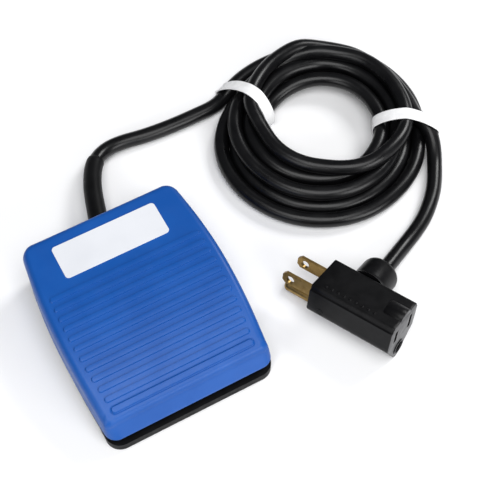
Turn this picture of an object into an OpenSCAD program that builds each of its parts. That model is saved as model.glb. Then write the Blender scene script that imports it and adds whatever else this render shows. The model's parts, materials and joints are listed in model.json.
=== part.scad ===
// Treadle foot switch with a mains lead and an in-line series plug.
// Millimetres. +Z is up, +Y is the hinge and cord end, +X is the right side.
// The origin is the centre of the base's footprint, on the floor.

/* [Base] */
// Width of the base tray across the toe end of its flange
base_w = 81; // [80.6:0.1:81.6]
// Twice the distance from the middle to the toe end of the flange
base_l = 98.4; // [98:0.1:99]
// Height of the top of the base flange above the floor
flange_z = 5.5; // [5:0.1:5.8]
// Underside of the tray above the floor, which is what the feet stand proud
foot_proud = 0.8; // [0.6:0.1:1]
// Corner radius of the base's toe end in plan
base_r = 7; // [6:0.5:8]

/* [Treadle cover] */
// Width of the treadle cover
cover_w = 84.4; // [84:0.1:84.8]
// Length of the treadle cover
cover_l = 96; // [95.8:0.1:96.2]
// Corner radius of the cover's rear corners in plan
cover_r = 8; // [7:0.5:8.5]
// Corner radius of the cover's front corners in plan
cover_rf = 6; // [5:0.5:7]
// Height of the flat rear part of the cover
cover_h = 31; // [30.8:0.1:31.4]
// Wall thickness of the cover
cover_t = 2; // [1.8:0.1:2]
// Radius of the arched tread
tread_r = 176.7; // [176:0.1:178]
// Where the arch starts, measured from the middle of the base
arch_y = 19; // [18.8:0.1:19.2]

/* [Tread ribs] */
// Number of raised ribs across the tread
rib_n = 12; // [6:1:12]
// Distance from rib to rib
rib_pitch = 5; // [4.8:0.1:5]
// Width of one rib
rib_w = 2.3; // [2:0.1:3]
// Distance from a rib's end to the side of the cover
rib_end = 5; // [5:0.5:9]
// Height of a rib above the tread
rib_h = 0.6; // [0.4:0.1:0.8]

/* [Label] */
// Length of the blank label across the cover
label_w = 51; // [40:1:55]
// Width of the blank label
label_l = 18; // [14:1:19]

/* [Hinge] */
// Distance of the pivot behind the middle of the base
pivot_y = 39; // [38.5:0.1:39.5]
// Height of the pivot above the floor
pivot_z = 12; // [11.8:0.1:12.2]
// Radius of the pivot pins
pivot_r = 2; // [1.8:0.1:2]
// Running clearance of the cover on the pins
pivot_gap = 0.05; // [0.03:0.01:0.08]

/* [Mains lead] */
// Outside diameter of the three-core lead
cord_d = 7.4; // [7.4:0.1:7.4]
// Height of the lead where it leaves the rear wall
exit_z = 9; // [9:0.1:9]
// Sideways offset of the lead's exit
exit_x = 2; // [2:0.1:2]

/* [Plug] */
// Width of the plug body
plug_w = 22.2; // [22:0.1:22.6]
// Length of the plug body, blade face to socket face
plug_len = 42.7; // [42.5:0.1:43]
// Blade spacing, centre to centre
blade_pitch = 12.7; // [12.7:0.1:12.7]
// Ground pin below the line of the blades
ground_drop = 11.9; // [11.9:0.1:11.9]

/* [Hidden] */
$fn = 48;

blue = [0.13, 0.32, 0.72];
black = [0.05, 0.05, 0.06];
steel = [0.72, 0.73, 0.75];
brass = [0.83, 0.66, 0.30];

axis_z = cover_h - tread_r;       // height of the arch's axis
cr = cord_d / 2;                  // radius of the lead
rib_first = 16;                   // y of the rearmost rib
spring_y = -33;                   // y of the return spring

// Coil of the lead
coil_x = 122; coil_y = 53;
coil_in = 27; coil_out = 54; coil_lo = 0.6; coil_hi = 18;
hole_x = 127.6; hole_y = 56;

// Lead from the rear wall to the coil, centre line
LEAD = [[2, 50, 9], [2, 52, 9], [3, 58, 9], [5, 65, 8.9],
        [7, 71.5, 8.4], [9.2, 77.5, 7.6], [12, 83.4, 6.6], [15.2, 88, 5.6],
        [19.2, 91.8, 4.9], [23.4, 94.4, 4.6], [27.6, 95.6, 4.4],
        [32.2, 96, 4.1], [37.6, 95.9, 3.9], [42.8, 95.3, 3.8],
        [48, 94.6, 3.8], [53.4, 94.1, 3.8], [59, 93.8, 3.8],
        [64.5, 93.7, 3.8], [70.4, 93.8, 3.8], [76.2, 94, 3.8],
        [80, 94.2, 3.9], [83.2, 94.4, 3.9]];
sleeve_last = 8;                  // index of the point where the sleeve ends

// Lead from the coil to the plug, centre line
TAIL = [[164.2, 13.6, 4.6], [162.4, 10, 4.1], [159.2, 4.2, 3.8],
        [153.8, -3, 3.8], [147.4, -9.2, 3.8],
        [140.8, -14.3, 3.8], [133.4, -18.4, 3.8], [126.6, -21.6, 4.1],
        [120, -24.8, 5.1], [113, -28.3, 6.6], [106.4, -31.6, 8.2],
        [102, -33.7, 9.6]];

// Plug pose: blade tips, turn, tilt and roll
plug_at = [69.1, -11.5, 13.9];
plug_rot = [-16, -4.2, -63.2];

// ---------- helpers ----------
module rrect(w, l, r) {
    union() {
        square([w - 2*r, l], center = true);
        square([w, l - 2*r], center = true);
        for (x = [-1, 1], y = [-1, 1])
            translate([x*(w/2 - r), y*(l/2 - r)]) circle(r);
    }
}
module xcyl(r, x0, x1) { translate([x0, 0, 0]) rotate([0, 90, 0]) cylinder(r = r, h = x1 - x0); }
module ycyl(r, y0, y1) { translate([0, y1, 0]) rotate([90, 0, 0]) cylinder(r = r, h = y1 - y0); }
// polygon given in (y, z), extruded from x0 to x1
module yz(pts, x0, x1) {
    translate([x0, 0, 0]) rotate([90, 0, 90]) linear_extrude(x1 - x0) polygon(pts);
}
// polygon given in (x, z), extruded from y0 to y1
module xz(pts, y0, y1) {
    translate([0, y1, 0]) rotate([90, 0, 0]) linear_extrude(y1 - y0) polygon(pts);
}
function unit(v) = v / norm(v);
// tube swept along points, with radius list
module sweep(p, rad, sides = 8, first = undef, last = undef) {
    n = len(p);
    t = [for (i = [0:n-1])
        i == 0 && first != undef ? unit(first) :
        i == n - 1 && last != undef ? unit(last) :
        unit(p[min(i + 1, n - 1)] - p[max(i - 1, 0)])];
    up = [0, 0, 1];
    a = [for (i = [0:n-1]) unit(cross(t[i], up))];
    b = [for (i = [0:n-1]) cross(a[i], t[i])];
    ring = [for (i = [0:n-1], k = [0:sides-1])
        p[i] + rad[i]*(cos(360*k/sides)*a[i] + sin(360*k/sides)*b[i])];
    polyhedron(points = ring, faces = concat(
        [[for (k = [0:sides-1]) k]],
        [[for (k = [sides-1:-1:0]) (n-1)*sides + k]],
        [for (i = [0:n-2], k = [0:sides-1])
            [i*sides + k, (i+1)*sides + k, (i+1)*sides + (k+1)%sides]],
        [for (i = [0:n-2], k = [0:sides-1])
            [i*sides + k, (i+1)*sides + (k+1)%sides, i*sides + (k+1)%sides]]),
        convexity = 6);
}
function const(n, v) = [for (i = [0:n-1]) v];

// ---------- treadle cover ----------
// plan of the cover, drawn in by i: bowed sides, tangent corner arcs
side_rr = 250; side_rf = 555;         // radius of a side behind and ahead of the middle
function arc(x, y, r, a0, a1, n) =
    [for (k = [1:n]) let(t = a0 + (a1 - a0)*k/n) [x + r*cos(t), y + r*sin(t)]];
function side_x(big, r, y) = sqrt(pow(big - r, 2) - y*y) - (big - cover_w/2);
function plan(i) =
    let(yr = cover_l/2 - cover_r, yf = cover_l/2 - cover_rf,
        xr = side_x(side_rr, cover_r, yr), xf = side_x(side_rf, cover_rf, yf),
        tr = asin(yr/(side_rr - cover_r)), tf = asin(yf/(side_rf - cover_rf)),
        ar = side_rr - cover_w/2, af = side_rf - cover_w/2)
    concat([[xf, -cover_l/2 + i]],
        arc(xf, -yf, cover_rf - i, -90, -tf, 7), arc(-af, 0, side_rf - i, -tf, 0, 6),
        arc(-ar, 0, side_rr - i, 0, tr, 9), arc(xr, yr, cover_r - i, tr, 90, 7),
        [[-xr, cover_l/2 - i]],
        arc(-xr, yr, cover_r - i, 90, 180 - tr, 7), arc(ar, 0, side_rr - i, 180 - tr, 180, 9),
        arc(af, 0, side_rf - i, 180, 180 + tf, 6), arc(-xf, -yf, cover_rf - i, 180 + tf, 270, 7));
// across the cover: flat top with rounded shoulders, as (side, depth)
function shoulder(w) = concat(
    [for (t = [90:-15:0]) [w - 6 + 6*sin(t), -5.4*(1 - cos(t))]],
    [for (t = [0:15:90]) [-(w - 6 + 6*sin(t)), -5.4*(1 - cos(t))]]);
// side view of the cover, as (y, z)
function side_view(i, low_f, low_r) = [
    [cover_l/2 - i, low_r], [cover_l/2 - i, cover_h - 1.7 - i*0.7],
    [cover_l/2 - 0.4 - i, cover_h - 0.6 - i*0.8],
    [cover_l/2 - 1.4 - i, cover_h + 0.05 - i*0.9],
    [cover_l/2 - 1.4 - i, cover_h + 3], [-40 + 0.4*i, cover_h + 3],
    [-40 + 0.4*i, 21.3 - i], [-41.8 + 0.7*i, 20.3 - i],
    [-43.3 + 0.9*i, 18.6 - 0.7*i], [-44.2 + i, 16.4 - 0.4*i],
    [-45.6 + i, 15 - 0.7*i], [-47 + i, 12.8 - 0.4*i], [-cover_l/2 + i, low_f]];
module cover_form(i, low_f, low_r) {
    w = cover_w/2 - i;
    sh = shoulder(w);
    intersection() {
        union() {
            // flat rear
            xz(concat([for (q = sh) [q[0], cover_h - i + q[1]]], [[-w, -5], [w, -5]]),
               arch_y, cover_l/2 + 1);
            // arched tread
            translate([0, arch_y, axis_z]) rotate([0, 90, 0]) rotate([0, 0, 180])
                rotate_extrude(angle = 25, $fn = 180)
                    polygon(concat([for (q = sh) [tread_r - i + q[1], q[0]]],
                                   [[tread_r - 42, -w], [tread_r - 42, w]]));
        }
        translate([0, 0, -2]) linear_extrude(cover_h + 4)
            polygon(plan(i));
        yz(side_view(i, low_f, low_r), -cover_w/2 - 1, cover_w/2 + 1);
    }
}
module rib(len) {
    linear_extrude(rib_h + 0.5) union() {
        square([len - rib_w, rib_w], center = true);
        for (s = [-1, 1]) translate([s*(len - rib_w)/2, 0]) circle(rib_w/2, $fn = 24);
    }
}
module treadle_cover() color(blue) {
    difference() {
        union() {
            difference() {
                cover_form(0, 10, 6.5);
                cover_form(cover_t, -1, -1);
            }
            // tread ribs
            for (k = [0:rib_n-1]) {
                a = asin((arch_y - rib_first + k*rib_pitch)/tread_r);
                y = rib_first - k*rib_pitch;
                translate([0, arch_y, axis_z]) rotate([a, 0, 0])
                    translate([0, 0, tread_r - 0.5])
                        rib(cover_w - 2*rib_end - y*y/side_rr);
            }
            // pivot bosses inside the side walls
            intersection() {
                union() {
                    translate([0, pivot_y, pivot_z]) xcyl(5.2, 36.4, 39);
                    translate([0, pivot_y, pivot_z]) xcyl(5.2, -39, -36.4);
                }
                cover_form(0.6, 10, 6.5);
            }
            // actuator boss and spring spigot
            translate([0, -12, 24.8]) cylinder(r = 3.6, h = 2.4);
            intersection() {
                translate([0, spring_y, 19.6]) cylinder(r = 6, h = 6);
                cover_form(0.6, 10, 6.5);
            }
            translate([0, spring_y, 17.4]) cylinder(r = 3.4, h = 3);
            // front hooks
            for (s = [-1, 1]) translate([s*15 - 4, 0, 0]) {
                translate([0, -39.6, 7.4]) cube([8, 1.6, 12.6]);
                translate([0, -41.6, 7.4]) cube([8, 2.6, 1.6]);
            }
        }
        for (s = [-1, 1]) translate([0, pivot_y, pivot_z]) {
            xcyl(pivot_r + pivot_gap, s > 0 ? 34 : -37.9, s > 0 ? 37.9 : -34);
        }
        translate([0, -12, 20]) cylinder(r = 2, h = 7.6);
        // cord notch in the rear skirt
        translate([exit_x, cover_l/2 - 4, exit_z]) ycyl(7.7, 0, 6);
        translate([exit_x - 7.7, cover_l/2 - 4, 0]) cube([15.4, 6, exit_z]);
    }
}
module label_plate() color([0.93, 0.93, 0.94])
    translate([0, 31.7, cover_h]) linear_extrude(0.25) rrect(label_w, label_l, 1.8);
module actuator_screw() color(steel)
    translate([0, -12, 0]) difference() {
        translate([0, 0, 24]) cylinder(r = 2, h = 3.2);
        translate([-0.4, -3, 26.4]) cube([0.8, 6, 2]);
    }

// ---------- base ----------
module base_tray() color(black) difference() {
    union() {
        // flange and floor: under the cover's bowed plan, square at the toe end
        translate([0, 0, foot_proud]) linear_extrude(flange_z - foot_proud) union() {
            polygon(plan(0.6));
            translate([0, -base_l/2 + 20]) rrect(base_w, 40, base_r);
        }
        // upright wall
        translate([0, 1.65, flange_z - 0.5]) linear_extrude(5.5) rrect(72, 87.7, 5);
        // taller rear wall round the cord entry
        translate([-14, 43.3, 5]) cube([32, 2.2, 13]);
        // pivot ears
        for (s = [-1, 1]) translate([s*33.5, pivot_y, 0]) {
            translate([-2.3, -4, 3]) cube([4.6, 8, pivot_z - 3]);
            translate([0, 0, pivot_z]) xcyl(4, -2.3, 2.3);
        }
    }
    difference() {
        // hollow
        translate([0, 1.65, 3]) linear_extrude(20) rrect(67.6, 83.3, 3);
        for (s = [-1, 1]) translate([s*33.5, pivot_y, 0]) {
            translate([-2.3, -4, 3]) cube([4.6, 8, pivot_z - 3]);
            translate([0, 0, pivot_z]) xcyl(4, -2.3, 2.3);
        }
        // switch bracket
        translate([-8.4, -11.4, 2]) cube([3.2, 27.4, 18]);
        translate([-16, 14, 2]) cube([8, 2, 10]);
        translate([-16, -11.4, 2]) cube([8, 2, 10]);
        // saddle under the lead
        translate([-7.5, 28, 2]) cube([19, 8, exit_z - 2]);
        // spring seat
        translate([0, spring_y, 2]) cylinder(r = 3.4, h = 3.6);
        // bumper posts
        for (s = [-1, 1]) translate([s*24, -33, 2]) cylinder(r = 4.5, h = 10.4);
        // ground boss
        translate([-20, 25, 2]) cylinder(r = 4, h = 2.6);
    }
    // pivot bores
    translate([0, pivot_y, pivot_z]) { xcyl(pivot_r, 30, 40); xcyl(pivot_r, -40, -30); }
    // cord entry, with seats for the bushing's flanges
    translate([exit_x, 0, exit_z]) {
        ycyl(6, 42, 47);
        ycyl(7, 41.8, 43.3);
        ycyl(7, 45.5, 51);
    }
    // groove of the saddle
    translate([exit_x, 0, exit_z]) ycyl(cr, 27, 37);
    // screw bores
    for (x = [-5, 9]) translate([x, 32, 3.4]) cylinder(r = 1.5, h = 10);
    translate([-20, 25, 1.8]) cylinder(r = 1.5, h = 5);
    translate([0, -9.1, 17.3]) xcyl(1.5, -9, -4);
    translate([0, 13.1, 7]) xcyl(1.5, -9, -4);
    // windows for the cover's hooks
    for (s = [-1, 1]) translate([s*15 - 4.6, -44, 3.4]) cube([9.2, 5, 5.7]);
    // foot pockets
    for (x = [-1, 1], y = [-1, 1])
        translate([x*31, y*38.5, 0]) cylinder(r = 5.5, h = 2.2);
    // stem hole of each bumper
    for (s = [-1, 1]) translate([s*24, -33, 8.4]) cylinder(r = 2, h = 6);
}
module rubber_feet() color([0.16, 0.16, 0.17])
    for (x = [-1, 1], y = [-1, 1])
        translate([x*31, y*38.5, 0]) cylinder(r = 5.5, h = 2.2);
module insulating_liner() color([0.55, 0.48, 0.36])
    translate([-4.9, -22.5, 3]) cube([19, 36, 0.4]);
module pivot_pins() color(steel)
    for (s = [-1, 1]) translate([0, pivot_y, pivot_z]) {
        xcyl(pivot_r, s > 0 ? 30.6 : -37.6, s > 0 ? 37.6 : -30.6);
    }
module stop_bumpers() color([0.2, 0.2, 0.21])
    for (s = [-1, 1]) translate([s*24, -33, 0]) {
        translate([0, 0, 8.4]) cylinder(r = 2, h = 4);
        translate([0, 0, 12.4]) cylinder(r = 4.5, h = 3.2);
    }

// ---------- return spring ----------
module return_spring() color(steel) {
    r = 4.6; wr = 0.5; z0 = 3.55; z1 = 19.05; turns = 7; st = 14; sides = 6;
    n = turns*st;
    zz = [for (i = [0:n]) let (u = i/st)
        u < 1 ? z0 + 1.05*u : u > turns - 1 ? z1 - 1.05*(turns - u)
              : z0 + 1.05 + (z1 - z0 - 2.1)*(u - 1)/(turns - 2)];
    pts = [for (i = [0:n], k = [0:sides-1]) let (a = 360*i/st, c = 360*k/sides)
        [(r + wr*cos(c))*cos(a), (r + wr*cos(c))*sin(a), zz[i] + wr*sin(c)]];
    translate([0, spring_y, 0]) polyhedron(points = pts, faces = concat(
        [[for (k = [0:sides-1]) k]],
        [[for (k = [sides-1:-1:0]) n*sides + k]],
        [for (i = [0:n-1], k = [0:sides-1])
            [i*sides + k, (i+1)*sides + k, (i+1)*sides + (k+1)%sides]],
        [for (i = [0:n-1], k = [0:sides-1])
            [i*sides + k, (i+1)*sides + (k+1)%sides, i*sides + (k+1)%sides]]),
        convexity = 10);
}

// ---------- snap-action switch ----------
module sw_box(x0, x1) { translate([x0, -11.9, 4.2]) cube([x1 - x0, 27.8, 15.9]); }
module sw_holes() {
    translate([0, -9.1, 17.3]) xcyl(1.55, -6, 6);
    translate([0, 13.1, 7]) xcyl(1.55, -6, 6);
}
module switch_case() color([0.12, 0.12, 0.13]) difference() {
    union() {
        sw_box(-5.15, 3.6);
        // ears of the lever
        for (x = [-4.6, 2.2]) translate([x, 13.6, 19]) union() {
            cube([1.2, 2.2, 2]);
            translate([0, 1.1, 2]) xcyl(1.1, 0, 1.2);
        }
    }
    difference() {
        translate([-3.6, -10.4, 5.8]) cube([8, 24.8, 12.5]);
        translate([0, -9.1, 17.3]) xcyl(2.6, -4, 4);
        translate([0, 13.1, 7]) xcyl(2.6, -4, 4);
    }
    sw_holes();
    // plunger bore
    translate([-0.7, 6, 17]) cylinder(r = 1.45, h = 5);
    // lever bores
    translate([0, 14.7, 21]) xcyl(0.65, -6, 5);
    // terminal slots
    translate([-1.1, 14, 9.8]) cube([0.8, 3, 6.3]);
    translate([-1.1, -13, 10.6]) cube([0.8, 3, 4]);
    translate([-1.1, -13, 5.9]) cube([0.8, 3, 4]);
}
module switch_lid() color([0.35, 0.05, 0.05]) difference() {
    sw_box(3.6, 5.15);
    sw_holes();
}
module switch_plunger() color([0.8, 0.1, 0.08])
    translate([-0.7, 6, 0]) {
        translate([0, 0, 12.9]) cylinder(r = 1.4, h = 8.55);
        translate([0, 0, 15.6]) cylinder(r = 2.3, h = 0.9);
    }
module switch_lever() color(steel)
    translate([-0.6, 14.7, 21]) rotate([-5.6, 0, 0]) {
        translate([-1.5, -30, -0.2]) cube([3, 29.8, 0.4]);
        xcyl(0.6, -3.9, 3.9);
        // rolled end
        translate([-1.5, -30, 0]) xcyl(0.7, 0, 3);
    }
module snap_blade() color(brass)
    translate([-0.7, 0, 0]) {
        translate([-1.8, -9.2, 11.35]) cube([3.6, 20.4, 0.3]);
        translate([0, -7.6, 10.9]) cylinder(r = 1.2, h = 1.2);
        translate([0, 11.2, 11.5]) xcyl(0.3, -1.8, 1.8);
    }
module terminal_common() color(brass) union() {
    translate([-1.1, 11.6, 9.8]) cube([0.8, 9.9, 6.3]);
    translate([-2.5, 11.6, 11]) cube([3.6, 1.6, 1]);
}
module terminal_open() color(brass) union() {
    translate([-1.1, -18.5, 5.9]) cube([0.8, 9.7, 4]);
    translate([-2.3, -9.6, 9.1]) cube([3.2, 3.6, 0.5]);
    translate([-0.7, -7.6, 9.5]) cylinder(r = 1.2, h = 0.75);
}
module terminal_closed() color(brass) union() {
    translate([-1.1, -18.5, 10.6]) cube([0.8, 8.3, 4]);
    translate([-1.1, -10.2, 12.9]) cube([0.8, 3, 1.7]);
    translate([-2.3, -9.6, 12.9]) cube([3.2, 3.6, 0.5]);
    translate([-0.7, -7.6, 12.2]) cylinder(r = 1.2, h = 0.8);
}
module switch_screws() color(steel)
    for (p = [[-9.1, 17.3], [13.1, 7]]) translate([0, p[0], p[1]]) difference() {
        union() { xcyl(1.5, -8.8, 5.2); xcyl(2.8, 5.15, 7); }
        translate([6.2, -3, -0.4]) cube([1.2, 6, 0.8]);
    }
module wire_connectors() color([0.75, 0.12, 0.1]) {
    difference() {
        translate([-2.3, 16.4, 9.1]) cube([3.2, 7, 7.7]);
        translate([-1.1, 16, 9.8]) cube([0.8, 5.5, 6.3]);
    }
    difference() {
        translate([-2.3, -20.4, 5.1]) cube([3.2, 8, 5.3]);
        translate([-1.1, -18.5, 5.9]) cube([0.8, 7, 4]);
    }
}

// ---------- lead inside the base ----------
module cord_clamp() color(black) difference() {
    translate([-7.5, 28.5, exit_z + 0.3]) cube([19, 7, 5.4]);
    translate([exit_x, 0, exit_z]) ycyl(cr, 28, 36);
    for (x = [-5, 9]) translate([x, 32, 8]) cylinder(r = 1.6, h = 8);
}
module clamp_screws() color(steel)
    for (x = [-5, 9]) translate([x, 32, 0]) difference() {
        union() {
            translate([0, 0, 4]) cylinder(r = 1.5, h = 10.8);
            translate([0, 0, 14.7]) cylinder(r = 2.2, h = 1.7);
        }
        translate([-3, -0.35, 15.7]) cube([6, 0.7, 1]);
    }
module strain_relief() color(black) translate([exit_x, 0, exit_z]) difference() {
    union() {
        ycyl(7, 41.8, 43.3);
        ycyl(6, 43.2, 45.6);
        ycyl(7, 45.5, 47);
        ycyl(5.6, 47, 50);
    }
    ycyl(cr, 41, 51);
}
module cord_end() color(black) translate([exit_x, 0, exit_z]) ycyl(cr, 27.8, 50);
module line_wire() color([0.06, 0.06, 0.06])
    sweep([[3.9, 27.8, 8.8], [3.9, 26.6, 8.8], [5, 23.6, 8.4], [8, 20, 7],
           [10.2, 14.6, 5.6], [11, 6, 5.2], [11, -6, 5.2], [10.2, -15, 5.4],
           [7, -21, 6.4], [3.4, -24.2, 7.2], [0.6, -24.2, 7.6],
           [-0.7, -22, 7.7], [-0.7, -20.4, 7.7]], const(13, 1.2),
          first = [0, -1, 0], last = [0, 1, 0]);
module load_wire() color([0.9, 0.9, 0.88])
    sweep([[1.3, 27.8, 10.8], [1.2, 26.9, 10.9], [0.2, 25.6, 12], [-0.6, 24.4, 12.8],
           [-0.7, 23.4, 12.9]], const(5, 1.2), first = [0, -1, 0], last = [0, -1, 0]);
module ground_wire() color([0.1, 0.5, 0.2])
    sweep([[0.8, 27.8, 7.6], [0.6, 26.6, 7.5], [-1.4, 24.6, 7], [-5.4, 23.4, 6.4],
           [-10, 23.4, 5.8], [-13, 24.3, 5.4], [-15.1, 24.8, 5.3]], const(7, 1.2),
          first = [0, -1, 0], last = [-1, 0, 0]);
module ground_lug() color(brass) difference() {
    union() {
        translate([-20, 25, 4.6]) cylinder(r = 3.6, h = 0.8);
        translate([-18, 23.6, 4.6]) cube([2.9, 2.4, 0.8]);
    }
    translate([-20, 25, 4]) cylinder(r = 1.6, h = 3);
}
module ground_screw() color([0.15, 0.5, 0.25]) translate([-20, 25, 0]) difference() {
    union() {
        translate([0, 0, 2]) cylinder(r = 1.5, h = 3.6);
        translate([0, 0, 5.4]) cylinder(r = 2.8, h = 1.8);
    }
    translate([-3, -0.4, 6.4]) cube([6, 0.8, 1]);
}

// ---------- free lead ----------
module cord_sleeve() color(black)
    sweep([for (i = [0:sleeve_last]) LEAD[i]],
          [for (i = [0:sleeve_last]) 4.7 - 0.4*i/sleeve_last], 12,
          last = LEAD[sleeve_last+1] - LEAD[sleeve_last-1]);
module cord_lead() color(black)
    sweep([for (i = [sleeve_last:len(LEAD)-1]) LEAD[i]],
          const(len(LEAD) - sleeve_last, cr), 12,
          first = LEAD[sleeve_last+1] - LEAD[sleeve_last-1]);
module cord_coil() color(black) difference() {
    translate([coil_x, coil_y, 0]) rotate_extrude($fn = 96) union() {
        translate([0, coil_lo]) square([coil_out - 5, coil_hi - coil_lo]);
        translate([0, coil_lo + 5]) square([coil_out, coil_hi - coil_lo - 10]);
        for (z = [coil_lo + 5, coil_hi - 5]) translate([coil_out - 5, z]) circle(5, $fn = 32);
    }
    translate([hole_x, hole_y, 0]) {
        translate([0, 0, coil_lo - 1]) cylinder(r = coil_in, h = coil_hi + 2);
        translate([0, 0, coil_hi - 4]) cylinder(r1 = coil_in, r2 = coil_in + 4.5, h = 4.5);
        translate([0, 0, coil_lo - 0.5]) cylinder(r1 = coil_in + 4.5, r2 = coil_in, h = 4.5);
    }
}
module cord_tail() color(black) sweep(TAIL, const(len(TAIL), cr), 12);
// band round the coil's section from s0 to s1, 6.2 wide, whose middle line
// starts at p (from the coil's centre) and runs at angle a
module tie(p, a, s0, s1) color([0.95, 0.95, 0.95])
    translate([coil_x + p[0], coil_y + p[1], 0]) rotate([0, 0, a])
        translate([0, 3.1, 0]) rotate([90, 0, 0]) linear_extrude(6.2)
            translate([(s0 + s1)/2, (coil_hi + 0.6)/2]) difference() {
                rrect(s1 - s0, coil_hi + 0.6, 4.6);
                rrect(s1 - s0 - 1.2, coil_hi - 0.6, 4);
            }
module tie_left() tie([-18.3, 17.5], 110.7, -7.2, 31.6);
module tie_right() tie([28, -9], -30.5, -2, 29);

// ---------- plug, in its own frame: +X to the socket face, +Z up ----------
module at_plug() { translate(plug_at) rotate(plug_rot) children(); }
x_face = 16.5; x_sock = x_face + plug_len; face_t = 2.6;
hw = plug_w/2;
boss_x = 34.3; boss_z = -1.2; boss_r = 8.4; boss_y = hw + 14.4;
module plug_section() {
    polygon([[-hw + 1.2, 8.2], [-hw, 7], [-hw, -6.2], [-3.4, -13.2],
             [3.4, -13.2], [hw, -6.2], [hw, 7], [hw - 1.2, 8.2]]);
}
// rounded keel under the ground pin, deeper towards the socket
module keel(x0, x1) {
    intersection() {
        translate([x_face, 0, -10.4]) rotate([0, 95.88, 0]) translate([0, 0, -6]) cylinder(r = 4.2, h = 60);
        translate([x0, -6, -20]) cube([x1 - x0, 12, 14]);
    }
}
module plug_form(x0, x1) {
    union() {
        translate([x0, 0, 0]) rotate([90, 0, 90]) linear_extrude(x1 - x0) plug_section();
        keel(x0, x1);
    }
}
// half-round finger ridge on top, next to the socket
module finger_ridge(x0, x1) {
    intersection() {
        translate([0, 0, 6.2]) xcyl(4.6, x0, x1);
        translate([x0, -6, 7.4]) cube([x1 - x0, 12, 6]);
    }
}
module plug_body() color(black) at_plug() difference() {
    union() {
        plug_form(x_face, x_sock - face_t);
        finger_ridge(x_sock - 9.5, x_sock - face_t);
        // grip dots
        for (k = [0:8]) translate([22.5 + 3.2*k, -7.4, 8]) cylinder(r = 0.5, h = 0.5, $fn = 16);
    }
    // blade seats
    for (s = [-1, 1]) translate([x_face - 1, s*blade_pitch/2 - 0.75, -3.175]) cube([10, 1.5, 6.35]);
    translate([0, 0, -ground_drop]) xcyl(1.9, x_face - 1, x_face + 9);
    // contact chambers
    for (s = [-1, 1]) translate([x_sock - 21, s*blade_pitch/2 - 2.2, -4.2]) cube([20, 4.4, 8.4]);
    translate([0, 0, -ground_drop]) xcyl(3.2, x_sock - 21, x_sock - 1);
}
module plug_boss() color(black) at_plug() translate([boss_x, 0, boss_z]) difference() {
    union() {
        ycyl(boss_r, hw, boss_y - 1.4);
        ycyl(boss_r - 1.2, boss_y - 1.5, boss_y);
    }
    ycyl(cr, boss_y - 5, boss_y + 2);
}
module receptacle_face() color([0.1, 0.1, 0.11]) at_plug() difference() {
    union() {
        plug_form(x_sock - face_t, x_sock);
        finger_ridge(x_sock - face_t, x_sock);
    }
    translate([x_sock - 4, -blade_pitch/2 - 0.95, -3.6]) cube([6, 1.9, 7.2]);
    translate([x_sock - 4, blade_pitch/2 - 0.95, -4.1]) cube([6, 1.9, 8.2]);
    translate([0, 0, -ground_drop]) xcyl(2.6, x_sock - 4, x_sock + 1);
}
module blade(s) color(brass) at_plug() difference() {
    union() {
        translate([1.6, s*blade_pitch/2 - 0.75, -3.175]) cube([x_face + 7.4, 1.5, 6.35]);
        yzb(s);
    }
    translate([4.2, s*blade_pitch/2, 0]) rotate([90, 0, 0]) cylinder(r = 2, h = 4, center = true);
}
// chamfered tip of a blade
module yzb(s) {
    translate([0, s*blade_pitch/2 + 0.75, 0]) rotate([90, 0, 0])
        linear_extrude(1.5) polygon([[1.7, -3.175], [0, -1.6], [0, 1.6], [1.7, 3.175]]);
}
module line_blade() blade(-1);
module neutral_blade() blade(1);
module ground_pin() color(brass) at_plug() translate([0, 0, -ground_drop]) {
    rotate([0, 90, 0]) rotate_extrude() polygon(concat(
        [for (t = [0:15:90]) [2.4*sin(t), 0.8 - 2.4*cos(t)]],
        [[2.4, x_face], [1.9, x_face], [1.9, x_face + 8.5], [0, x_face + 8.5]]));
}
module clip(s) color(brass) at_plug() translate([x_sock - 21, s*blade_pitch/2, -3.9]) difference() {
    translate([0, -2.1, 0]) cube([18, 4.2, 7.8]);
    translate([2, -1.2, -1]) cube([18, 2.4, 10]);
}
module line_contact() clip(-1);
module neutral_contact() clip(1);
module ground_contact() color(brass) at_plug() translate([0, 0, -ground_drop]) difference() {
    xcyl(3.1, x_sock - 20.5, x_sock - 3);
    xcyl(2.45, x_sock - 18.5, x_sock - 2);
}

base_tray();
rubber_feet();
insulating_liner();
pivot_pins();
treadle_cover();
label_plate();
actuator_screw();
return_spring();
stop_bumpers();
switch_case();
switch_lid();
switch_plunger();
switch_lever();
snap_blade();
terminal_common();
terminal_open();
terminal_closed();
switch_screws();
wire_connectors();
cord_clamp();
clamp_screws();
strain_relief();
cord_end();
line_wire();
load_wire();
ground_wire();
ground_lug();
ground_screw();
cord_sleeve();
cord_lead();
cord_coil();
cord_tail();
tie_left();
tie_right();
plug_body();
plug_boss();
receptacle_face();
line_blade();
neutral_blade();
ground_pin();
line_contact();
neutral_contact();
ground_contact();
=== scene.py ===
"""Visual model of a foot switch with a coiled mains lead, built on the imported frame."""
import json
import math
import bmesh
import bpy
import numpy as np
from mathutils import Matrix, Vector


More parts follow.
